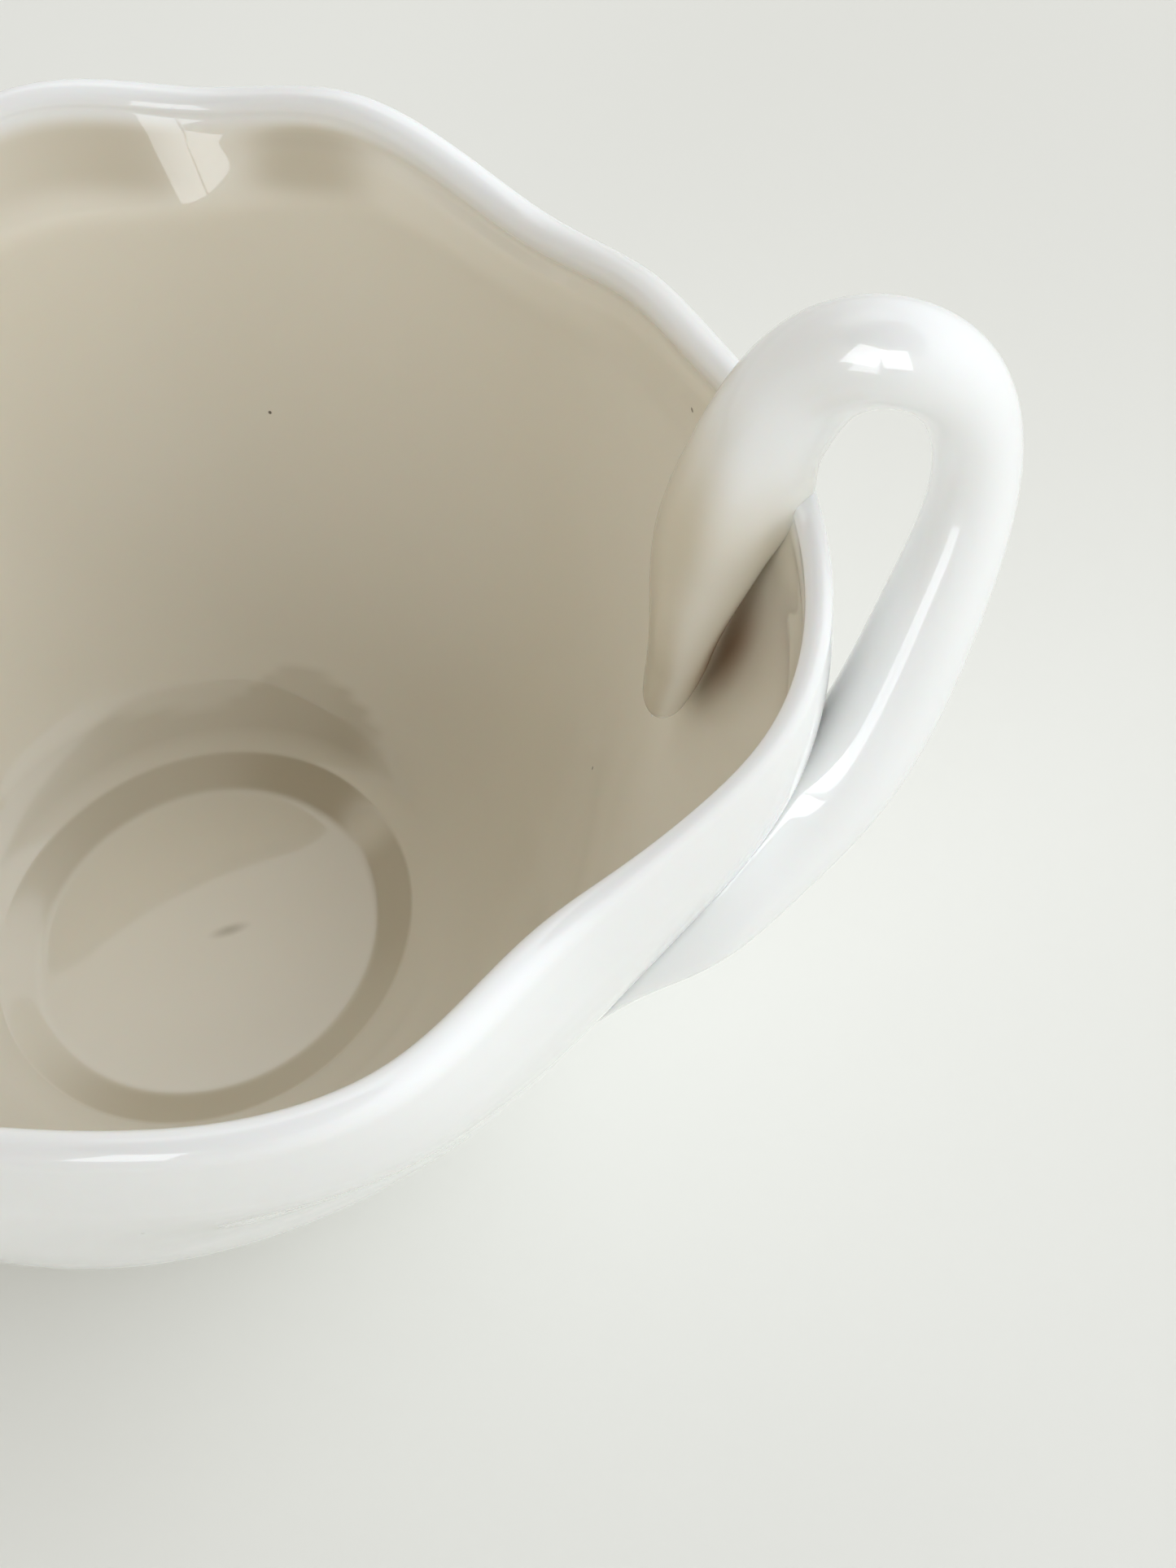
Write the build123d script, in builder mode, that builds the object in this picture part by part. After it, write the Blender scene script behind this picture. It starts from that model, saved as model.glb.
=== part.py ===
from build123d import *

import os
from math import cos, radians, sin

# Porcelain cream jug: a lobed oval bowl on a turned foot ring, with a looped handle.
#
# The handle starts on the outer wall, loops up over the rim and ends in a beak that lies
# against the inner wall. It is stuck on with luting slip in three places. Millimetres, +Z up,
# handle towards +X, pouring lip towards -X, origin at the centre of the foot's resting edge.

# ---------------------------------------------------------------- driving dimensions

FOOT_RADIUS = 19.5  # outside of the foot ring
FOOT_WIDTH = 3.6
FOOT_HEIGHT = 3.0
FOOT_ROUND = 0.8

WELL_RADIUS = 17.0  # flat round well inside the bowl
WELL_HEIGHT = 6.0  # top of the floor above the resting edge

POT_RADIUS = 39.3  # the round pot below the lobes
POT_SHIFT = 3.4  # the pot sits this far towards the handle
POT_SHIFT_GAIN = 1.8  # and this much further on the handle's side than on the other
POT_FULLNESS = 1.6  # exponent of the superellipse that shapes the belly
POT_SHOULDER = 0.86  # share of the height at which the pot reaches full width

WALL = 2.7  # wall thickness
LIP = 2.4  # thickness of the rounded lip
FLARE_START = 0.52  # share of the height at which the lobes begin

LUTING_GAP = 0.7  # thickness of the slip between the handle and the wall
BEAK_SLIP_START = 33.0  # a height between the root's slip and the beak's
RIM_SLIP_START = 50.0  # the height at which the beak's slip ends and the rim's saddle begins

# The lip's crest as (angle from the handle, radius, height). Lobes and notches alternate;
# the rim climbs to the handle, and again to the pouring lip at 180 degrees.
RIM = [
    (0, 51.0, 61.6),
    (14, 46.0, 59.8),
    (29, 44.0, 55.6),
    (46, 42.6, 52.0),  # notch
    (66, 41.8, 55.3),
    (84, 41.4, 54.0),  # notch
    (103, 41.2, 55.2),
    (122, 39.6, 53.0),  # notch
    (140, 42.2, 55.4),
    (156, 42.8, 55.4),  # notch beside the pouring lip
    (168, 47.6, 58.6),
    (180, 50.6, 60.2),
    (192, 47.6, 58.6),
    (204, 42.8, 55.4),  # notch beside the pouring lip
    (220, 42.2, 55.4),
    (238, 39.4, 53.0),  # notch
    (257, 40.4, 54.2),
    (276, 38.6, 52.4),  # notch
    (297, 43.8, 55.0),
    (314, 47.3, 54.4),
    (330, 46.2, 51.9),  # notch
    (344, 53.6, 56.0),
]

# The handle's centre line as (angle, radius, height, width across, depth), beak to root.
HANDLE = [
    (-1, 40.6, 38.0, 1.6, 1.2),
    (0, 41.4, 41.6, 3.4, 2.4),
    (0, 42.8, 46.6, 5.0, 4.2),
    (1, 45.0, 54.0, 6.2, 5.6),
    (1, 48.2, 61.8, 6.4, 6.2),
    (1, 52.4, 68.2, 6.0, 5.6),
    (0, 56.6, 70.4, 5.8, 5.4),
    (0, 59.6, 68.0, 5.4, 5.0),
    (-1, 60.5, 62.0, 5.2, 4.6),
    (-3, 58.8, 54.0, 5.6, 5.2),
    (-5, 54.6, 44.6, 6.4, 6.2),
    (-6, 49.2, 34.8, 7.2, 6.8),
    (-7, 43.8, 26.8, 8.2, 7.2),
    (-8, 38.8, 20.4, 8.8, 6.0),
    (-8, 35.0, 15.4, 7.6, 3.8),
    (-8, 31.7, 11.6, 4.6, 1.8),
]

# ---------------------------------------------------------------- shape of the wall

RING_SHARES = [0, 0.05, 0.12, 0.22, 0.34, 0.48, 0.62, 0.76, 0.88, 0.96]
LIP_TURNS = [0, 45, 90, 135, 180]


def polar(angle, radius, height):
    """A point at an angle in degrees about the jug's axis."""
    return Vector(radius * cos(radians(angle)), radius * sin(radians(angle)), height)


def pot(angle):
    """Radius of the plain, slightly egg-shaped pot about the jug's axis."""
    shift = POT_SHIFT + POT_SHIFT_GAIN * cos(radians(angle))
    across = shift * sin(radians(angle))
    return shift * cos(radians(angle)) + (POT_RADIUS**2 - across**2) ** 0.5


def belly(share):
    """How much of its full width the pot has at a share of its height."""
    left = max(0.0, 1 - share / POT_SHOULDER)
    return (1 - left**POT_FULLNESS) ** (1 / POT_FULLNESS)


def flare(share):
    """How far the wall has moved from the pot out to the lobes."""
    t = max(0.0, (share - FLARE_START) / (1 - FLARE_START))
    return t * t * (3 - 2 * t)


def outer_ring(share, swell=0.0):
    """Points round the outside of the wall, from the foot (0) to the lip (1)."""
    points = []
    for angle, radius, height in RIM:
        full = FOOT_RADIUS + (pot(angle) - FOOT_RADIUS) * belly(share)
        out = full + (radius + LIP / 2 - pot(angle)) * flare(share)
        top = height - LIP / 2
        points.append(polar(angle, out + swell, FOOT_HEIGHT + (top - FOOT_HEIGHT) * share))
    return points


def inner_ring(share, swell=0.0):
    """Points round the inside of the wall, from the well (0) to the lip (1)."""
    points = []
    for angle, radius, height in RIM:
        wide = pot(angle) - WALL
        full = WELL_RADIUS + (wide - WELL_RADIUS) * belly(share)
        out = full + (radius - LIP / 2 - wide) * flare(share)
        top = height - LIP / 2
        points.append(polar(angle, out - swell, WELL_HEIGHT + (top - WELL_HEIGHT) * share))
    return points


def lip_ring(turn, swell=0.0):
    """Points round the lip, where turn goes from 0 outside to 180 degrees inside."""
    reach = LIP / 2 + swell
    points = []
    for angle, radius, height in RIM:
        out = radius + reach * cos(radians(turn))
        points.append(polar(angle, out, height - LIP / 2 + reach * sin(radians(turn))))
    return points


def wall_rings(swell=0.0):
    """Closed curves up the outside, over the lip and down the inside."""
    rings = [outer_ring(share, swell) for share in RING_SHARES]
    rings += [lip_ring(turn, swell) for turn in LIP_TURNS]
    rings += [inner_ring(share, swell) for share in reversed(RING_SHARES)]
    return [Wire([Edge.make_spline(points, periodic=True)]) for points in rings]

# ---------------------------------------------------------------- body and foot

with BuildPart() as body_shell:
    add(Solid.make_loft(wall_rings()))
body_shell.part.label = "body_shell"

with BuildPart() as foot_ring:
    with BuildSketch(Plane.XZ) as foot_section:
        with Locations((FOOT_RADIUS - FOOT_WIDTH / 2, FOOT_HEIGHT / 2)):
            Rectangle(FOOT_WIDTH, FOOT_HEIGHT)
        lower_corners = foot_section.vertices().group_by(Axis.Z)[0]
        fillet(lower_corners, FOOT_ROUND)
    revolve(axis=Axis.Z)
foot_ring.part.label = "foot_ring"

# ---------------------------------------------------------------- handle and luting slip

HANDLE_POINTS = [polar(angle, radius, height) for angle, radius, height, *_ in HANDLE]

with BuildPart() as handle_blank:
    with BuildLine(mode=Mode.PRIVATE) as handle_path:
        Spline(*HANDLE_POINTS)
    path = handle_path.edges()[0]
    for (angle, _, _, width, depth), point in zip(HANDLE, HANDLE_POINTS):
        across = polar(angle + 90, 1, 0)
        along = path.tangent_at(point)
        station = Plane(origin=point, x_dir=across - along * across.dot(along), z_dir=along)
        with BuildSketch(station):
            Ellipse(width / 2, depth / 2)
    loft()

wall_and_slip = Solid.make_loft(wall_rings(LUTING_GAP))

with BuildPart() as handle:
    add(handle_blank.part)
    add(wall_and_slip, mode=Mode.SUBTRACT)
handle.part.label = "handle"

with BuildPart() as slip_layer:
    add(handle_blank.part)
    add(wall_and_slip, mode=Mode.INTERSECT)
    add(body_shell.part, mode=Mode.SUBTRACT)

with BuildPart() as root_slip:
    add(slip_layer.part)
    split(bisect_by=Plane.XY.offset(BEAK_SLIP_START), keep=Keep.BOTTOM)
root_slip.part.label = "root_slip"

with BuildPart() as beak_slip:
    add(slip_layer.part)
    split(bisect_by=Plane.XY.offset(BEAK_SLIP_START), keep=Keep.TOP)
    split(bisect_by=Plane.XY.offset(RIM_SLIP_START), keep=Keep.BOTTOM)
beak_slip.part.label = "beak_slip"

with BuildPart() as rim_slip:
    add(slip_layer.part)
    split(bisect_by=Plane.XY.offset(RIM_SLIP_START), keep=Keep.TOP)
rim_slip.part.label = "rim_slip"

# ---------------------------------------------------------------- files

os.makedirs("parts", exist_ok=True)
for piece in (body_shell, foot_ring, handle, root_slip, beak_slip, rim_slip):
    export_step(piece.part, f"parts/{piece.part.label}.step")
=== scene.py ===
from math import cos, pi, radians, sin

import bpy
import numpy as np
from mathutils import Matrix, Vector
from mathutils.bvhtree import BVHTree


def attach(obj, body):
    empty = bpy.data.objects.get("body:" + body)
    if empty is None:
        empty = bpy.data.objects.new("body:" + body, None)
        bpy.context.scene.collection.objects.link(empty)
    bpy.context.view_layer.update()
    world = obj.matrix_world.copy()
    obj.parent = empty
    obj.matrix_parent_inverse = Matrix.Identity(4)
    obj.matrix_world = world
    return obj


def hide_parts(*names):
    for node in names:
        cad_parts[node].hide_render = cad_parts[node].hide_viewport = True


# A porcelain cream jug on a pale floor. Shapes are worked out in millimetres in the frame's
# axes (+X to the handle, -X to the pouring lip, +Z up) and written to Blender in metres.

MM = 0.001

# ---------------------------------------------------------------- driving dimensions

FOOT_RADIUS = 19.5
FOOT_WIDTH = 3.6
FOOT_HEIGHT = 3.0
WELL_RADIUS = 17.0  # edge of the shallow round recess in the floor
WELL_FLAT = 13.9  # radius of its flat middle, inside a sloping band
WELL_DEPTH = 1.4  # how far the recess lies under the foot of the wall
WELL_ROUNDING = 0.35  # how softly the band turns into the wall and into the middle
WALL_START = 6.2  # height at which the inner wall starts
UNDERSIDE = 3.1  # height of the outside of the floor, inside the foot ring

POT_RADIUS = 39.3
POT_SHIFT = 3.4  # the pot sits this far towards the handle
POT_SHIFT_GAIN = 1.8  # and this much further on the handle's side
POT_FULLNESS = 1.6  # 1 would be a cone, 2 a quarter of an ellipse
POT_SHOULDER = 0.86  # share of the wall's height from which the pot is at its widest
WALL = 2.7  # thickness of the wall there
LIP = 2.4  # width of the rounded lip, away from the handle

# The lip's crest: (angle from the handle in degrees, radius, height).
RIM = [
    (0, 51.0, 61.6),
    (14, 46.0, 59.8),
    (29, 44.0, 55.6),
    (46, 42.6, 52.0),
    (66, 41.8, 55.3),
    (84, 41.4, 54.0),
    (103, 41.2, 55.2),
    (122, 39.6, 53.0),
    (140, 42.2, 55.4),
    (156, 42.8, 55.4),
    (168, 47.6, 58.6),
    (180, 50.6, 60.2),
    (192, 47.6, 58.6),
    (204, 42.8, 55.4),
    (220, 42.2, 55.4),
    (238, 39.4, 53.0),
    (257, 40.4, 54.2),
    (276, 38.6, 52.4),
    (297, 43.8, 55.0),
    (314, 47.3, 54.4),
    (330, 46.2, 51.9),
    (344, 53.6, 56.0),
]

# Share of the wall's height at which it starts to lean outwards: (angle, share).
LEAN = [(0, 0.34), (20, 0.40), (50, 0.50), (90, 0.52), (270, 0.52), (310, 0.46), (340, 0.34)]

# The fold inside the wall where the lip turns outwards: (angle, depth under the crest,
# share of the flare that happens above the fold).
FOLD = [
    (0, 5.0, 0.05),
    (25, 4.6, 0.25),
    (46, 4.6, 0.60),
    (66, 5.4, 0.80),
    (90, 6.6, 0.95),
    (135, 7.0, 0.90),
    (180, 8.0, 0.40),
    (225, 7.0, 0.85),
    (262, 6.4, 0.60),
    (295, 6.0, 0.20),
    (335, 5.0, 0.00),
]

# The rounded lip, finer and drawn in by the handle: (angle, width, how far it is drawn in).
LIP_EDGE = [
    (-60, LIP, 0.0),
    (-40, LIP, 0.0),
    (-31, 2.2, 0.1),
    (-26, 1.7, 0.7),
    (-20, 1.3, 1.5),
    (-13, 1.4, 1.2),
    (-5, 1.6, 0.6),
    (3, 1.8, 0.15),
    (11, 2.1, 0.0),
    (22, 2.3, 0.0),
    (40, LIP, 0.0),
    (180, LIP, 0.0),
    (270, LIP, 0.0),
]

# The groove just under the lip, on the inside: (angle, depth).
GROOVE = [(0, 0.0), (12, 0.3), (30, 0.6), (50, 0.55), (70, 0.2), (95, 0.05), (180, 0.1), (300, 0.0)]
GROOVE_DROP = 2.5  # how far under the crest it lies
GROOVE_WIDTH = 0.6  # a third of its depth is left this far above and below

# Where painted shade darkens the well's sloping band: (angle, amount).
BAND_SHADE = [
    (-150, 0.0),
    (-122, 0.5),
    (-100, 0.9),
    (0, 1.0),
    (30, 1.0),
    (42, 0.3),
    (54, 0.9),
    (90, 0.8),
    (130, 0.7),
    (170, 0.4),
    (195, 0.0),
]
BAND_SHADE_STRENGTH = 0.9
BAND_INNER_FADE = (WELL_FLAT - 0.7, WELL_FLAT + 0.4)  # radii, from none to full
BAND_OUTER_FADE = (WELL_RADIUS + 0.1, WELL_RADIUS - 0.5)

# The same painted shade beside the well: (angle, amount, radius of the shaded patch's outer edge).
FLOOR_SHADE = [
    (0, 0.0, 20.0),
    (50, 0.0, 20.8),
    (60, 1.0, 22.2),
    (72, 1.0, 23.4),
    (84, 0.9, 23.2),
    (92, 0.8, 21.6),
    (115, 0.8, 21.4),
    (150, 0.5, 21.8),
    (185, 0.0, 21.0),
    (270, 0.0, 20.0),
]
FLOOR_SHADE_STRENGTH = 0.5
FLOOR_INNER_FADE = (WELL_RADIUS + 0.5, WELL_RADIUS + 1.4)
FLOOR_OUTER_FADE = 0.7  # width of the shaded patch's soft outer edge
FLOOR_SHADE_TOP = WALL_START + 6  # neither this painted shade nor the band's reaches higher

# The same painted shade in the bend just under the lip: (angle, amount).
LIP_SHADE = [
    (-20, 0.0),
    (40, 0.0),
    (62, 0.15),
    (68, 0.8),
    (76, 0.7),
    (82, 0.1),
    (88, 0.55),
    (97, 0.7),
    (108, 0.4),
    (118, 0.0),
    (180, 0.0),
    (270, 0.0),
]
LIP_SHADE_TOP_FADE = (1.2, 2.8)  # depths under the crest, from none to full
LIP_SHADE_FOOT_FADE = (8.0, 5.0)
IVORY_SHADE_FADE = (0.3, 3.5)  # the same for the ivory painted shade inside the bowl, which goes on down from there

# The handle's centre line, beak to root: (angle, radius, height, width across, depth).
HANDLE = [
    (-1, 40.6, 39.4, 3.2, 2.2),
    (-1, 41.6, 42.2, 4.0, 3.2),
    (-1, 42.6, 45.4, 4.8, 3.9),
    (-1, 43.4, 48.5, 5.6, 4.5),
    (0, 45.1, 54.0, 6.5, 6.5),
    (0, 47.8, 61.0, 6.8, 7.0),
    (1, 52.1, 68.0, 6.2, 6.3),
    (0, 56.6, 70.4, 5.8, 5.6),
    (0, 59.6, 68.0, 5.4, 5.1),
    (-1, 60.5, 62.0, 5.2, 4.8),
    (-4, 58.6, 55.6, 5.8, 5.6),
    (-7, 56.2, 49.6, 6.6, 6.2),
    (-10, 53.7, 45.0, 7.4, 6.2),
    (-13, 50.7, 41.2, 8.6, 5.8),
    (-16, 47.8, 37.4, 9.6, 4.7),
    (-18, 44.4, 33.6, 9.2, 2.9),
    (-19, 41.6, 29.6, 7.6, 1.6),
    (-20, 39.4, 26.6, 4.5, 0.8),
]
BEAK_ROUNDING = 2.0  # length over which the beak's tip closes

# Radius of the smoothed clay where the handle meets the wall: (share of the way from the
# beak to the root, radius).
HANDLE_FILLET = [(0.0, 0.3), (0.1, 0.3), (0.2, 0.8), (0.3, 1.2), (0.6, 1.8), (1.0, 2.4)]
FILLET_SMOOTHING = 10  # how many times it is evened out along and round the handle

# Painted shade on the handle, as inside the bowl: ivory, and the darker shade below. Both lie along
# the first part, and wherever the handle comes nearer than a radius to the jug's axis, but in both
# cases only above a height.
IN_BOWL_FADE = (0.40, 0.30)  # shares of the way from the beak to the root, from none to full
IN_BOWL_RADIUS = 41
IN_BOWL_LOWEST = 38
HANDLE_IVORY_SHADE = 0.6
HANDLE_IVORY_SHADE_FADE = (70, 58)  # heights, from none to full

# Painted shade on the handle, more and higher up where it faces the pouring lip.
FACING_FADE = (0.3, -0.7)  # the normal's share of +X, from not facing it to facing it
HANDLE_SHADE = 0.15
FACING_SHADE = 0.75
HANDLE_SHADE_TOP = 65
FACING_SHADE_RISE = 8
HANDLE_SHADE_FADE = 15  # height over which it comes in

# ---------------------------------------------------------------- curves


def closed_spline(knots, values):
    """A smooth closed curve through values at angles in degrees, as a function of radians."""
    t = np.radians(knots)
    v = np.array(values, float)
    n = len(t)
    step = np.diff(np.append(t, t[0] + 2 * pi))
    rise = (np.roll(v, -1) - v) / step
    matrix = np.zeros((n, n))
    right = np.zeros(n)
    for i in range(n):
        before, after = 1 / step[i - 1], 1 / step[i]
        matrix[i, i - 1] += before
        matrix[i, i] += 2 * (before + after)
        matrix[i, (i + 1) % n] += after
        right[i] = 3 * (rise[i - 1] * before + rise[i] * after)
    slope = np.linalg.solve(matrix, right)

    def curve(angle):
        a = np.mod(np.asarray(angle) - t[0], 2 * pi) + t[0]
        i = np.searchsorted(t, a, side="right") - 1
        j = (i + 1) % n
        u = (a - t[i]) / step[i]
        smooth = (1 + 2 * u) * (1 - u) ** 2 * v[i] + u**2 * (3 - 2 * u) * v[j]
        return smooth + step[i] * (u * (1 - u) ** 2 * slope[i] - u**2 * (1 - u) * slope[j])

    return curve


def by_angle(table, column):
    """A smooth closed curve through one column of a table whose first column is the angle."""
    return closed_spline([row[0] for row in table], [row[column] for row in table])


def open_spline(values, count):
    """Points on a smooth open curve through rows of values that start with x, y and z."""
    v = np.array(values, float)
    gap = np.linalg.norm(np.diff(v[:, :3], axis=0), axis=1) ** 0.5
    t = np.insert(np.cumsum(gap), 0, 0)
    n = len(t)
    step = np.diff(t)
    rise = np.diff(v, axis=0) / step[:, None]
    matrix = np.zeros((n, n))
    right = np.zeros_like(v)
    matrix[0, :2] = 2, 1
    right[0] = 3 * rise[0]
    matrix[-1, -2:] = 1, 2
    right[-1] = 3 * rise[-1]
    for i in range(1, n - 1):
        before, after = 1 / step[i - 1], 1 / step[i]
        matrix[i, i - 1 : i + 2] = before, 2 * (before + after), after
        right[i] = 3 * (rise[i - 1] * before + rise[i] * after)
    slope = np.linalg.solve(matrix, right)
    out = []
    for a in np.linspace(0, t[-1], count):
        i = min(np.searchsorted(t, a, side="right") - 1, n - 2)
        u = (a - t[i]) / step[i]
        smooth = (1 + 2 * u) * (1 - u) ** 2 * v[i] + u**2 * (3 - 2 * u) * v[i + 1]
        out.append(smooth + step[i] * (u * (1 - u) ** 2 * slope[i] - u**2 * (1 - u) * slope[i + 1]))
    return np.array(out)


def smoothstep(x):
    """A smooth rise from 0 at 0 to 1 at 1, level outside them."""
    x = np.clip(x, 0, 1)
    return x * x * (3 - 2 * x)


def ramp(value, start, end):
    """A smooth change from 0 at the start to 1 at the end, which may be the smaller of the two."""
    return smoothstep((value - start) / (end - start))


# ---------------------------------------------------------------- mesh helpers


def mesh_object(name, points, faces):
    """A smooth-shaded object from points in millimetres."""
    mesh = bpy.data.meshes.new(name)
    mesh.from_pydata([tuple(p) for p in np.asarray(points) * MM], [], faces)
    mesh.validate()
    mesh.update()
    for polygon in mesh.polygons:
        polygon.use_smooth = True
    piece = bpy.data.objects.new(name, mesh)
    bpy.context.scene.collection.objects.link(piece)
    return piece


def ring_faces(rings, around, close_start=True, close_end=True):
    """Faces between rings of points, with a fan to a single point past each closed end."""
    faces = []
    for i in range(rings - 1):
        for j in range(around):
            k = (j + 1) % around
            faces.append((i * around + j, i * around + k, (i + 1) * around + k, (i + 1) * around + j))
    start, end = rings * around, rings * around + 1
    last = (rings - 1) * around
    for j in range(around):
        k = (j + 1) % around
        if close_start:
            faces.append((start, k, j))
        if close_end:
            faces.append((end, last + j, last + k))
    return faces


# Layers that hold how much ivory painted shade and how much darker painted shade lie at each point of
# a piece.
INSIDE_SHADE_LAYER = "ivory_inside_shade"
SHADE_LAYER = "painted_shade"


def paint(piece, layer, amounts):
    """Stores how much of a kind of painted shade lies at each point of a piece, from 0 to 1."""
    made = piece.data.attributes.new(layer, "FLOAT", "POINT")
    made.data.foreach_set("value", np.asarray(amounts, np.float32))


# ---------------------------------------------------------------- the body

BODY_AROUND = 600  # points round the body
WALL_RINGS = 90
LIP_RINGS = 20
RIM_RADIUS = by_angle(RIM, 1)
RIM_HEIGHT = by_angle(RIM, 2)
LIP_WIDTH = by_angle(LIP_EDGE, 1)
LIP_INSET = by_angle(LIP_EDGE, 2)
LEAN_START = by_angle(LEAN, 1)
FOLD_DEPTH = by_angle(FOLD, 1)
FOLD_SHARE = by_angle(FOLD, 2)
FOLD_SOFTNESS = 0.12  # how rounded the fold is, as a share of the lip's height above it
GROOVE_DEPTH = by_angle(GROOVE, 1)
BAND_AMOUNT = by_angle(BAND_SHADE, 1)
FLOOR_AMOUNT = by_angle(FLOOR_SHADE, 1)
FLOOR_EDGE = by_angle(FLOOR_SHADE, 2)
LIP_AMOUNT = by_angle(LIP_SHADE, 1)


def pot(angle):
    """Radius of the plain, slightly egg-shaped pot about the jug's axis."""
    shift = POT_SHIFT + POT_SHIFT_GAIN * np.cos(angle)
    return shift * np.cos(angle) + np.sqrt(POT_RADIUS**2 - (shift * np.sin(angle)) ** 2)


def belly(share):
    """How full the pot is at a share of its height, from 0 at the foot to 1."""
    left = max(0.0, 1 - share / POT_SHOULDER)
    return (1 - left**POT_FULLNESS) ** (1 / POT_FULLNESS)


def flare(share, angle, full_height, inside):
    """How far the wall has moved from the pot out to the lip, at a share of its height."""
    first = LEAN_START(angle)
    wide = smoothstep((share - first) / (1 - first))
    if not inside:
        return wide
    start = 1 - FOLD_DEPTH(angle) / full_height
    x = (share - start) / (1 - start)
    soft = FOLD_SOFTNESS
    bent = (x + np.sqrt(x * x + soft * soft)) / (1 + np.sqrt(1 + soft * soft))
    amount = FOLD_SHARE(angle)
    return wide * (1 - amount) + bent * amount


def wall_ring(angle, share, inside):
    """One ring of points round the outside or inside of the wall."""
    half = LIP_WIDTH(angle) / 2
    top = RIM_HEIGHT(angle) - half
    low = WALL_START if inside else FOOT_HEIGHT
    foot = WELL_RADIUS if inside else FOOT_RADIUS
    wide = pot(angle) - (WALL if inside else 0)
    edge = RIM_RADIUS(angle) - LIP_INSET(angle) + (-half if inside else half)
    out = foot + (wide - foot) * belly(share) + (edge - wide) * flare(share, angle, top - low, inside)
    up = low + (top - low) * share
    if inside:
        under = (RIM_HEIGHT(angle) - GROOVE_DROP - up) / GROOVE_WIDTH
        out = out + GROOVE_DEPTH(angle) * np.exp(-(under**2))
    return np.stack([out * np.cos(angle), out * np.sin(angle), up], 1)


def lip_ring(angle, turn):
    """One ring round the rounded lip; turn runs from 0 outside to pi inside."""
    half = LIP_WIDTH(angle) / 2
    out = RIM_RADIUS(angle) - LIP_INSET(angle) + half * cos(turn)
    up = RIM_HEIGHT(angle) - half + half * sin(turn)
    return np.stack([out * np.cos(angle), out * np.sin(angle), up], 1)


def flat_ring(angle, radius, height):
    """A level ring of points about the jug's axis."""
    level = np.full_like(angle, height)
    return np.stack([radius * np.cos(angle), radius * np.sin(angle), level], 1)


def well_profile():
    """(radius, height) from the foot of the inner wall in to the middle of the well."""
    middle = (WELL_RADIUS + WELL_FLAT) / 2
    half = (WELL_RADIUS - WELL_FLAT) / 2
    profile = []
    for radius in np.linspace(WELL_RADIUS, WELL_FLAT - 1, 34)[1:]:
        x = (middle - radius) / half
        upper = np.sqrt((x + 1) ** 2 + WELL_ROUNDING**2)
        lower = np.sqrt((x - 1) ** 2 + WELL_ROUNDING**2)
        profile.append((radius, WALL_START - WELL_DEPTH * (2 + upper - lower) / 4))
    for radius in np.linspace(WELL_FLAT - 1, 0, 10)[1:-1]:
        profile.append((radius, WALL_START - WELL_DEPTH))
    return profile


def body_rings():
    """Rings from the underside up the outside, over the lip and down the inside to the well."""
    angle = np.linspace(0, 2 * pi, BODY_AROUND, endpoint=False)
    rings = []
    for radius in np.linspace(2, FOOT_RADIUS - FOOT_WIDTH, 6):
        rings.append(flat_ring(angle, radius, UNDERSIDE))
    rings.append(flat_ring(angle, FOOT_RADIUS - 0.6, UNDERSIDE))
    shares = 1 - (1 - np.linspace(0, 1, WALL_RINGS)) ** 1.15  # a little closer near the lip
    for share in shares:
        rings.append(wall_ring(angle, share, inside=False))
    for turn in np.linspace(0, pi, LIP_RINGS + 2)[1:-1]:
        rings.append(lip_ring(angle, turn))
    inside_from = len(rings)
    for share in shares[::-1]:
        rings.append(wall_ring(angle, share, inside=True))
    for radius, height in well_profile():
        rings.append(flat_ring(angle, radius, height))
    return rings, inside_from


def paint_body(body, points, is_inside):
    """Painted shade: ivory inside, darker in the well's band, beside the well and under the lip."""
    around = np.arctan2(points[:, 1], points[:, 0])
    out = np.hypot(points[:, 0], points[:, 1])
    depth = RIM_HEIGHT(around) - points[:, 2]
    paint(body, INSIDE_SHADE_LAYER, is_inside * ramp(depth, *IVORY_SHADE_FADE))
    band = ramp(out, *BAND_INNER_FADE) * ramp(out, *BAND_OUTER_FADE)
    edge = FLOOR_EDGE(around)
    beside = ramp(out, *FLOOR_INNER_FADE) * ramp(out, edge, edge - FLOOR_OUTER_FADE)
    shade_amount = band * BAND_AMOUNT(around) * BAND_SHADE_STRENGTH
    shade_amount += beside * FLOOR_AMOUNT(around) * FLOOR_SHADE_STRENGTH
    shade_amount *= is_inside * (points[:, 2] < FLOOR_SHADE_TOP)
    under_lip = is_inside * ramp(depth, *LIP_SHADE_TOP_FADE) * ramp(depth, *LIP_SHADE_FOOT_FADE)
    shade_amount += under_lip * np.clip(LIP_AMOUNT(around), 0, 1)
    paint(body, SHADE_LAYER, np.clip(shade_amount, 0, 1))


def make_body():
    """The whole bowl, inside and out, as one closed skin."""
    rings, inside_from = body_rings()
    middles = [[[0, 0, UNDERSIDE]], [[0, 0, WALL_START - WELL_DEPTH]]]
    points = np.concatenate(rings + middles)
    body = mesh_object("jug_body", points, ring_faces(len(rings), BODY_AROUND))
    is_inside = np.arange(len(points)) >= inside_from * BODY_AROUND
    is_inside[-2] = False  # the middle of the underside
    paint_body(body, points, is_inside)
    return body


# ---------------------------------------------------------------- the handle

HANDLE_STEPS = 420
HANDLE_AROUND = 96


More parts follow.
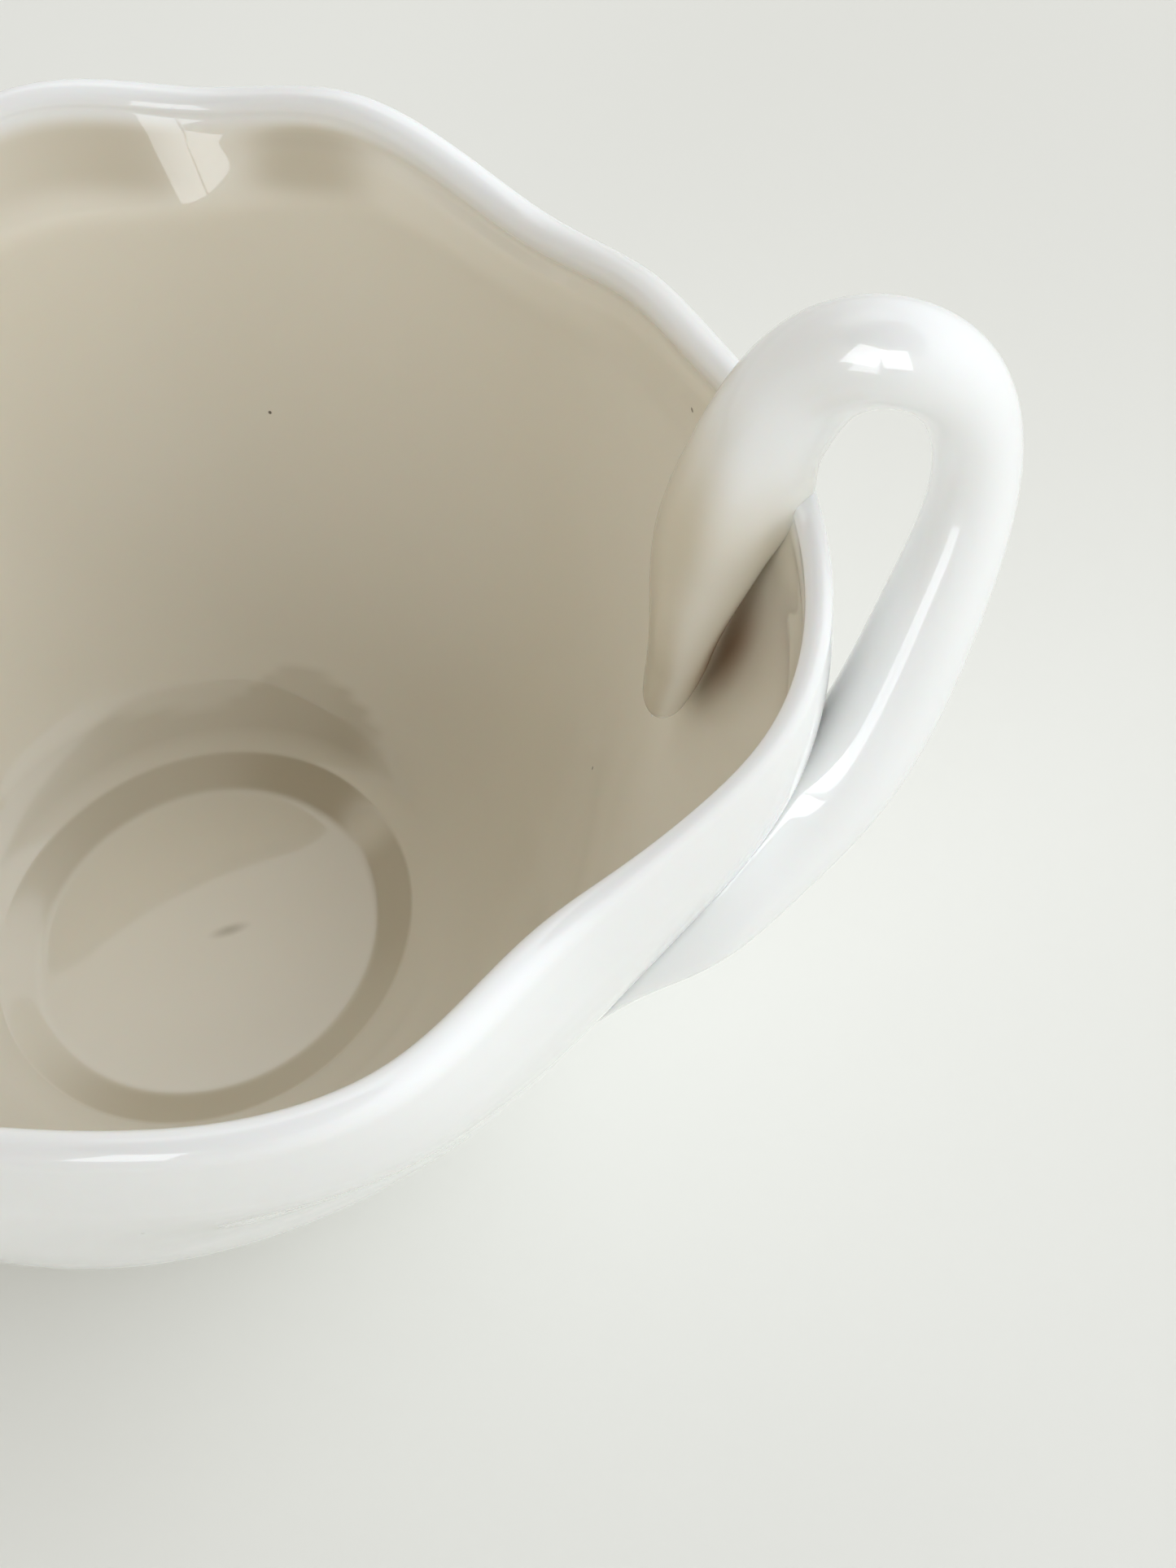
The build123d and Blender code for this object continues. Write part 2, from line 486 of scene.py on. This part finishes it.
def handle_stations():
    """Centre, across and depth directions, width and depth at each step along the handle."""
    rows = []
    for angle, radius, height, width, depth in HANDLE:
        a = radians(angle)
        rows.append((radius * cos(a), radius * sin(a), height, width, depth))
    line = open_spline(rows, HANDLE_STEPS)
    centre = line[:, :3]
    along = np.gradient(centre, axis=0)
    along /= np.linalg.norm(along, axis=1)[:, None]
    sideways = np.stack([-centre[:, 1], centre[:, 0], np.zeros(len(centre))], 1)
    sideways /= np.linalg.norm(sideways, axis=1)[:, None]
    across = sideways - along * np.sum(sideways * along, axis=1)[:, None]
    across /= np.linalg.norm(across, axis=1)[:, None]
    return centre, across, np.cross(along, across), line[:, 3], line[:, 4]


def fillet_spread(point, normal, wall, reach):
    """How far a point of the handle's side moves out along the wall to meet it smoothly."""
    near, wall_normal, _, _ = wall.find_nearest(Vector(point))
    gap = max((Vector(point) - near).dot(wall_normal), 0.0)
    if gap >= reach:
        return (0.0, 0.0, 0.0)
    flat = Vector(normal) - wall_normal * Vector(normal).dot(wall_normal)
    return flat * (reach - (reach**2 - (reach - gap) ** 2) ** 0.5)


def smoothed_fillets(points, normals, share, body):
    """How far each point of the handle moves out along the wall, evened out over the handle."""
    wall = BVHTree.FromPolygons(
        [v.co / MM for v in body.data.vertices], [p.vertices for p in body.data.polygons]
    )
    reach = np.interp(share, [at for at, _ in HANDLE_FILLET], [r for _, r in HANDLE_FILLET])
    spread = np.zeros_like(points)
    for i in range(HANDLE_STEPS):
        for j in range(HANDLE_AROUND):
            spread[i, j] = fillet_spread(points[i, j], normals[i, j], wall, reach[i])
    for _ in range(FILLET_SMOOTHING):
        spread[1:-1] = (spread[:-2] + 2 * spread[1:-1] + spread[2:]) / 4
        spread = (np.roll(spread, 1, 1) + 2 * spread + np.roll(spread, -1, 1)) / 4
    return spread


def paint_handle(handle, points, normals, share):
    """Painted shade on the part inside the bowl: ivory, and darker most where it faces the lip."""
    along = np.append(np.repeat(share, HANDLE_AROUND), [0, 1])
    out = np.hypot(points[:, 0], points[:, 1])
    height = points[:, 2]
    in_bowl = np.maximum(ramp(along, *IN_BOWL_FADE), out < IN_BOWL_RADIUS)
    in_bowl *= height > IN_BOWL_LOWEST
    paint(handle, INSIDE_SHADE_LAYER, in_bowl * HANDLE_IVORY_SHADE * ramp(height, *HANDLE_IVORY_SHADE_FADE))
    facing = ramp(np.append(normals[..., 0], [0, 0]), *FACING_FADE)
    top = HANDLE_SHADE_TOP + FACING_SHADE_RISE * facing
    shade_amount = in_bowl * (HANDLE_SHADE + FACING_SHADE * facing)
    paint(handle, SHADE_LAYER, shade_amount * ramp(height, top, top - HANDLE_SHADE_FADE))


def make_handle(body):
    """The swept handle, whose sides spread out where they come near the wall."""
    centre, across, inward, width, depth = handle_stations()
    length = np.insert(np.cumsum(np.linalg.norm(np.diff(centre, axis=0), axis=1)), 0, 0)
    share = length / length[-1]
    closing = 1 - np.clip(length / BEAK_ROUNDING, 0, 1)
    rounded = np.sqrt(np.clip(1 - closing**2, 0.002, 1))
    turn = np.linspace(0, 2 * pi, HANDLE_AROUND, endpoint=False)
    c, s = np.cos(turn)[None, :, None], np.sin(turn)[None, :, None]
    wide, deep = (width * rounded)[:, None, None], (depth * rounded)[:, None, None]
    across, inward = across[:, None, :], inward[:, None, :]
    points = centre[:, None, :] + across * c * wide / 2 + inward * s * deep / 2
    normals = across * c / wide + inward * s / deep
    normals /= np.linalg.norm(normals, axis=2)[:, :, None]
    points = points + smoothed_fillets(points, normals, share, body)
    points = np.concatenate([points.reshape(-1, 3), [centre[0]], [centre[-1]]])
    handle = mesh_object("jug_handle", points, ring_faces(HANDLE_STEPS, HANDLE_AROUND))
    paint_handle(handle, points, normals, share)
    return handle


# ---------------------------------------------------------------- the foot

FOOT_AROUND = 360
FOOT_ROUNDING = 0.9  # radius of the resting edge's corners


def foot_profile():
    """(radius, height) from the bowl down the outside, under the edge and up the inside."""
    inner = FOOT_RADIUS - FOOT_WIDTH
    round_off = FOOT_ROUNDING
    profile = [(FOOT_RADIUS + 0.5, FOOT_HEIGHT + 0.45), (FOOT_RADIUS + 0.1, FOOT_HEIGHT - 0.1)]
    profile += [(FOOT_RADIUS - 0.1, FOOT_HEIGHT - 0.6), (FOOT_RADIUS - 0.1, round_off + 0.3)]
    for a in np.linspace(0, pi / 2, 8):
        out = FOOT_RADIUS - 0.1 - round_off + round_off * cos(a)
        profile.append((out, round_off - round_off * sin(a)))
    for a in np.linspace(pi / 2, pi, 8):
        profile.append((inner + round_off + round_off * cos(a), round_off - round_off * sin(a)))
    return profile + [(inner, FOOT_HEIGHT - 0.6), (inner - 0.4, FOOT_HEIGHT + 0.15)]


def make_foot():
    """The turned ring, with a soft fillet into the bowl and a rounded resting edge."""
    angle = np.linspace(0, 2 * pi, FOOT_AROUND, endpoint=False)
    rings = [flat_ring(angle, radius, height) for radius, height in foot_profile()[::-1]]
    faces = ring_faces(len(rings), FOOT_AROUND, close_start=False, close_end=False)
    last = (len(rings) - 1) * FOOT_AROUND
    for j in range(FOOT_AROUND):
        k = (j + 1) % FOOT_AROUND
        faces.append((last + j, last + k, k, j))
    return mesh_object("jug_foot", np.concatenate(rings), faces)


# ---------------------------------------------------------------- materials

# Colours; a pair is the two tones that a glaze drifts between.
WHITE = ((0.865, 0.872, 0.862), (0.885, 0.896, 0.892))
# The ivory tone is painted shade for the sheltered inside of the bowl and the part of the handle in
# it.
IVORY_SHADE = ((0.812, 0.757, 0.635), (0.830, 0.784, 0.680))
# Darker painted shade, laid over the glaze in the well's band, beside the well, under the lip and on
# the handle.
DARK_SHADE = (0.58, 0.515, 0.39)
IRON = (0.10, 0.07, 0.04)
DRY = ((0.76, 0.715, 0.635), (0.83, 0.80, 0.735))
PAPER = (0.85, 0.845, 0.797)
GLAZE_ROUGHNESS = 0.38
DRY_ROUGHNESS = 0.75
COAT_ROUGHNESS = 0.035

# Above what height the foot is glazed, in millimetres.
GLAZE_LINE = 1.3
GLAZE_LINE_WANDER = 0.5  # how much lower the line may lie
GLAZE_LINE_BLUR = 0.15

# Darker spots in the glaze, in millimetres: (centre, turn in degrees, half lengths, colour,
# strength).
DARK_SPOTS = [
    # painted brown shade in the crevice between the beak and the inner wall
    ((44.9, -0.4, 45.9), (0, 25, 0), (2.6, 3.9, 7.2), (0.30, 0.125, 0.0), 1.0),
    # a small darker mark in the middle of the well
    ((1.7, 0.6, 4.8), (0, 0, 22), (2.1, 0.75, 2.0), (0.47, 0.42, 0.31), 0.8),
]


def material(name):
    """A new material with its nodes, its links and its main shader."""
    made = bpy.data.materials.new(name)
    made.use_nodes = True
    nodes, links = made.node_tree.nodes, made.node_tree.links
    return made, nodes, links, nodes["Principled BSDF"]


def node(nodes, kind, **values):
    """A new node with some of its inputs or settings given by name."""
    made = nodes.new(kind)
    for key, value in values.items():
        if key in made.inputs:
            made.inputs[key].default_value = value
        else:
            setattr(made, key, value)
    return made


def spot(nodes, links, place, centre, turn, size):
    """A soft ellipsoid in the piece's own space, 1 at its centre and 0 at its edge; in mm."""
    moved = node(nodes, "ShaderNodeVectorMath", operation="SUBTRACT")
    moved.inputs[1].default_value = Vector(centre) * MM
    links.new(place.outputs["Object"], moved.inputs[0])
    turned = node(nodes, "ShaderNodeVectorRotate", rotation_type="EULER_XYZ", invert=True)
    turned.inputs["Rotation"].default_value = [radians(a) for a in turn]
    links.new(moved.outputs["Vector"], turned.inputs["Vector"])
    scaled = node(nodes, "ShaderNodeVectorMath", operation="MULTIPLY")
    scaled.inputs[1].default_value = [1 / (a * MM) for a in size]
    links.new(turned.outputs["Vector"], scaled.inputs[0])
    fade = node(nodes, "ShaderNodeTexGradient", gradient_type="SPHERICAL")
    links.new(scaled.outputs["Vector"], fade.inputs["Vector"])
    return fade.outputs["Fac"]


def tinted(nodes, links, colour, amount, other, strength=1.0):
    """Mixes another colour over a colour by an amount from 0 to 1."""
    shade = node(nodes, "ShaderNodeMapRange", interpolation_type="SMOOTHSTEP")
    shade.inputs["To Max"].default_value = strength
    links.new(amount, shade.inputs["Value"])
    mix = nodes.new("ShaderNodeMix")
    mix.data_type = "RGBA"
    links.new(shade.outputs["Result"], mix.inputs["Factor"])
    links.new(colour, mix.inputs[6])
    if isinstance(other, tuple):
        mix.inputs[7].default_value = (*other, 1)
    else:
        links.new(other, mix.inputs[7])
    return mix.outputs[2]


def clouded(nodes, links, place, low, high):
    """A colour that drifts softly between two close tones."""
    clouds = node(nodes, "ShaderNodeTexNoise", Scale=26.0, Detail=3.0, Roughness=0.45)
    links.new(place.outputs["Object"], clouds.inputs["Vector"])
    tint = node(nodes, "ShaderNodeValToRGB")
    for element, position, colour in zip(tint.color_ramp.elements, (0.35, 0.65), (low, high)):
        element.position = position
        element.color = (*colour, 1)
    links.new(clouds.outputs["Fac"], tint.inputs["Fac"])
    return tint.outputs["Color"]


def specks(nodes, links, place):
    """A few tiny iron specks in the glaze."""
    cells = node(nodes, "ShaderNodeTexVoronoi", Scale=130.0)
    links.new(place.outputs["Object"], cells.inputs["Vector"])
    near = node(nodes, "ShaderNodeMapRange")
    near.inputs["From Min"].default_value = 0.028
    near.inputs["From Max"].default_value = 0.018
    links.new(cells.outputs["Distance"], near.inputs["Value"])
    return near.outputs["Result"]


def porcelain():
    """White glaze with painted shade: ivory inside, darker in and beside the well, under the lip and
    on the handle, brown in the crevice by the beak.
    """
    made, nodes, links, shader = material("glazed_porcelain")
    place = node(nodes, "ShaderNodeTexCoord")
    # the ivory painted shade inside the bowl
    inside_shade = node(nodes, "ShaderNodeAttribute", attribute_name=INSIDE_SHADE_LAYER)
    white = clouded(nodes, links, place, *WHITE)
    ivory = clouded(nodes, links, place, *IVORY_SHADE)
    colour = tinted(nodes, links, white, inside_shade.outputs["Fac"], ivory)
    # the darker painted shade
    shade_amount = node(nodes, "ShaderNodeAttribute", attribute_name=SHADE_LAYER)
    colour = tinted(nodes, links, colour, shade_amount.outputs["Fac"], DARK_SHADE)
    for centre, turn, size, spot_colour, strength in DARK_SPOTS:
        amount = spot(nodes, links, place, centre, turn, size)
        colour = tinted(nodes, links, colour, amount, spot_colour, strength)
    colour = tinted(nodes, links, colour, specks(nodes, links, place), IRON)
    links.new(colour, shader.inputs["Base Color"])
    shader.inputs["Roughness"].default_value = GLAZE_ROUGHNESS
    shader.inputs["Coat Weight"].default_value = 1.0
    shader.inputs["Coat Roughness"].default_value = COAT_ROUGHNESS
    shader.inputs["Coat IOR"].default_value = 1.6
    shader.inputs["Subsurface Weight"].default_value = 0.12
    shader.inputs["Subsurface Scale"].default_value = 0.0012
    ripple = node(nodes, "ShaderNodeTexNoise", Scale=90.0, Detail=1.0, Roughness=0.4)
    links.new(place.outputs["Object"], ripple.inputs["Vector"])
    bump = node(nodes, "ShaderNodeBump", Strength=0.02, Distance=0.0003)
    links.new(ripple.outputs["Fac"], bump.inputs["Height"])
    links.new(bump.outputs["Normal"], shader.inputs["Coat Normal"])
    return made


def above_glaze_line(nodes, links, place):
    """1 above a slightly wandering level line, 0 below it."""
    apart = node(nodes, "ShaderNodeSeparateXYZ")
    links.new(place.outputs["Object"], apart.inputs["Vector"])
    wander = node(nodes, "ShaderNodeTexNoise", Scale=260.0, Detail=2.0)
    links.new(place.outputs["Object"], wander.inputs["Vector"])
    height = node(nodes, "ShaderNodeMath", operation="MULTIPLY_ADD")
    height.inputs[1].default_value = GLAZE_LINE_WANDER * MM
    links.new(wander.outputs["Fac"], height.inputs[0])
    links.new(apart.outputs["Z"], height.inputs[2])
    above = node(nodes, "ShaderNodeMapRange")
    above.inputs["From Min"].default_value = GLAZE_LINE * MM
    above.inputs["From Max"].default_value = (GLAZE_LINE + GLAZE_LINE_BLUR) * MM
    links.new(height.outputs["Value"], above.inputs["Value"])
    return above.outputs["Result"]


def biscuit():
    """The foot: glazed sides and a bare, dry resting edge."""
    made, nodes, links, shader = material("biscuit_porcelain")
    place = node(nodes, "ShaderNodeTexCoord")
    glazed = above_glaze_line(nodes, links, place)
    dry = clouded(nodes, links, place, *DRY)
    white = clouded(nodes, links, place, *WHITE)
    colour = tinted(nodes, links, dry, glazed, white)
    links.new(colour, shader.inputs["Base Color"])
    roughness = node(nodes, "ShaderNodeMapRange")
    roughness.inputs["To Min"].default_value = DRY_ROUGHNESS
    roughness.inputs["To Max"].default_value = GLAZE_ROUGHNESS
    links.new(glazed, roughness.inputs["Value"])
    links.new(roughness.outputs["Result"], shader.inputs["Roughness"])
    links.new(glazed, shader.inputs["Coat Weight"])
    shader.inputs["Coat Roughness"].default_value = COAT_ROUGHNESS
    grain = node(nodes, "ShaderNodeTexNoise", Scale=1800.0, Detail=4.0)
    links.new(place.outputs["Object"], grain.inputs["Vector"])
    bump = node(nodes, "ShaderNodeBump", Strength=0.3, Distance=0.00006)
    links.new(grain.outputs["Fac"], bump.inputs["Height"])
    links.new(bump.outputs["Normal"], shader.inputs["Normal"])
    return made


def paper():
    """The pale warm surface that the jug stands on."""
    made, nodes, links, shader = material("pale_floor")
    shader.inputs["Base Color"].default_value = (*PAPER, 1)
    shader.inputs["Roughness"].default_value = 0.85
    shader.inputs["Specular IOR Level"].default_value = 0.2
    return made


# ---------------------------------------------------------------- light, floor and camera

FLOOR_REACH = 3000.0  # from the middle of the floor to each edge
LIGHT_TARGET = Vector((0, 0, 0.04))


def make_floor():
    """The plain pale floor."""
    far = FLOOR_REACH
    corners = [(-far, -far, 0), (far, -far, 0), (far, far, 0), (-far, far, 0)]
    floor = mesh_object("floor", corners, [(0, 1, 2, 3)])
    floor.data.materials.append(paper())


def towards(azimuth, elevation):
    """The direction of a place in the room; azimuth is measured from +X."""
    a, e = radians(azimuth), radians(elevation)
    return Vector((cos(a) * cos(e), sin(a) * cos(e), sin(e)))


def area_light(name, azimuth, elevation, distance, size, power, colour):
    """A soft rectangular light aimed at the jug, at a distance in metres."""
    data = bpy.data.lights.new(name, "AREA")
    data.shape = "RECTANGLE"
    data.size, data.size_y = size
    data.energy = power
    data.color = colour
    lamp = bpy.data.objects.new(name, data)
    lamp.location = LIGHT_TARGET + distance * towards(azimuth, elevation)
    lamp.rotation_mode = "QUATERNION"
    lamp.rotation_quaternion = (LIGHT_TARGET - lamp.location).to_track_quat("-Z", "Y")
    bpy.context.scene.collection.objects.link(lamp)
    return lamp


# What surrounds the jug, each laid over the ones before: (azimuth, elevation, angle from there
# at which it has faded out, angle within which it is full, colour).
ROOM = [
    (30, 25, 110, 20, (1.00, 1.03, 1.06)),
    (-93, 20, 17, 9, (0.22, 0.19, 0.16)),
    (-110, 75, 43, 37, (0.17, 0.145, 0.115)),
]
ROOM_BASE = (0.66, 0.635, 0.58)
HORIZON = (0.86, 0.86, 0.82)  # the pale surface carries on as far as the eye sees
HORIZON_TOP = 0.22  # the height at which it has faded into the room, as a share of straight up


def make_room():
    """Dim and warm to the left, in front and overhead, pale behind and to the right."""
    world = bpy.data.worlds.new("room")
    world.use_nodes = True
    nodes, links = world.node_tree.nodes, world.node_tree.links
    place = node(nodes, "ShaderNodeTexCoord")
    base = node(nodes, "ShaderNodeRGB")
    base.outputs[0].default_value = (*ROOM_BASE, 1)
    colour = base.outputs[0]
    for azimuth, elevation, faded, full, tone in ROOM:
        facing = node(nodes, "ShaderNodeVectorMath", operation="DOT_PRODUCT")
        facing.inputs[1].default_value = towards(azimuth, elevation)
        links.new(place.outputs["Generated"], facing.inputs[0])
        near = node(nodes, "ShaderNodeMapRange")
        near.inputs["From Min"].default_value = cos(radians(faded))
        near.inputs["From Max"].default_value = cos(radians(full))
        links.new(facing.outputs["Value"], near.inputs["Value"])
        colour = tinted(nodes, links, colour, near.outputs["Result"], tone)
    height = node(nodes, "ShaderNodeSeparateXYZ")
    links.new(place.outputs["Generated"], height.inputs["Vector"])
    low = node(nodes, "ShaderNodeMapRange")
    low.inputs["From Min"].default_value = HORIZON_TOP
    low.inputs["From Max"].default_value = 0.0
    links.new(height.outputs["Z"], low.inputs["Value"])
    colour = tinted(nodes, links, colour, low.outputs["Result"], HORIZON)
    links.new(colour, nodes["Background"].inputs["Color"])
    nodes["Background"].inputs["Strength"].default_value = 1.0
    bpy.context.scene.world = world


def make_light(handle):
    """A big cool light beyond the handle, a window behind and a paned one in front.

    Two more lights only make the highlight on the handle.
    """
    make_room()
    side = area_light("side_light", 0, 38, 1.5, (1.4, 1.2), 12.0, (0.93, 0.98, 1.04))
    side.visible_glossy = False
    area_light("back_window", 122, 54, 1.5, (1.1, 0.9), 1.25, (0.98, 1.0, 1.0))
    for name, azimuth in (("left_pane", -123), ("right_pane", -112)):
        area_light(name, azimuth, 19, 1.6, (0.29, 0.80), 1.9, (0.92, 0.98, 1.05))
    handle_only = bpy.data.collections.new("handle_only")
    handle_only.objects.link(handle)
    for name, azimuth in (("left_glint", -124), ("right_glint", -86)):
        glint = area_light(name, azimuth, 38, 1.0, (0.52, 0.66), 4.0, (0.95, 1.0, 1.04))
        glint.visible_diffuse = False
        glint.light_linking.receiver_collection = handle_only
    bpy.context.scene.view_settings.view_transform = "Standard"


def make_camera():
    """The camera looks down into the bowl from the front, close to the handle."""
    place = Vector((64.008, -81.306, 155.798)) * MM
    heading, pitch, roll = radians(110), radians(55.7046), radians(14.9134)
    level = Vector((sin(heading), -cos(heading), 0))
    down = Vector((-sin(pitch) * cos(heading), -sin(pitch) * sin(heading), -cos(pitch)))
    forward = Vector((cos(pitch) * cos(heading), cos(pitch) * sin(heading), -sin(pitch)))
    right = level * cos(roll) + down * sin(roll)
    up = level * sin(roll) - down * cos(roll)
    data = bpy.data.cameras.new("camera")
    data.lens = 52.0
    data.sensor_width = 36.0
    data.clip_start = 0.01
    camera = bpy.data.objects.new("camera", data)
    turn = Matrix((right, up, -forward)).transposed().to_4x4()
    camera.matrix_world = Matrix.Translation(place) @ turn
    bpy.context.scene.collection.objects.link(camera)
    bpy.context.scene.camera = camera


# ---------------------------------------------------------------- the scene

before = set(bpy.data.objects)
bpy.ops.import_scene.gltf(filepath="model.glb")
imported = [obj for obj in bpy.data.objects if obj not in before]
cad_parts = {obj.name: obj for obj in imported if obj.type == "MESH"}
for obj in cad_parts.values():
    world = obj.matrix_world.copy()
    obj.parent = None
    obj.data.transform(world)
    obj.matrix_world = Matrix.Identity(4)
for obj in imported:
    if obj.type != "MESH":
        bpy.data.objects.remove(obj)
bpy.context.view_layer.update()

glaze = porcelain()
bare = biscuit()

body_piece = make_body()
handle_piece = make_handle(body_piece)
foot_piece = make_foot()

for piece, cad_nodes, slot, look in (
    (body_piece, ("body_shell",), "glazed_porcelain", glaze),
    (handle_piece, ("handle", "root_slip"), "glazed_porcelain", glaze),
    (foot_piece, ("foot_ring",), "biscuit_porcelain", bare),
):
    piece.data.materials.append(look)
    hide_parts(*cad_nodes)
    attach(piece, "root")

for name in ("beak_slip", "rim_slip"):
    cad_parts[name].data.materials.clear()
    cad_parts[name].data.materials.append(glaze)

make_floor()
make_light(handle_piece)
make_camera()
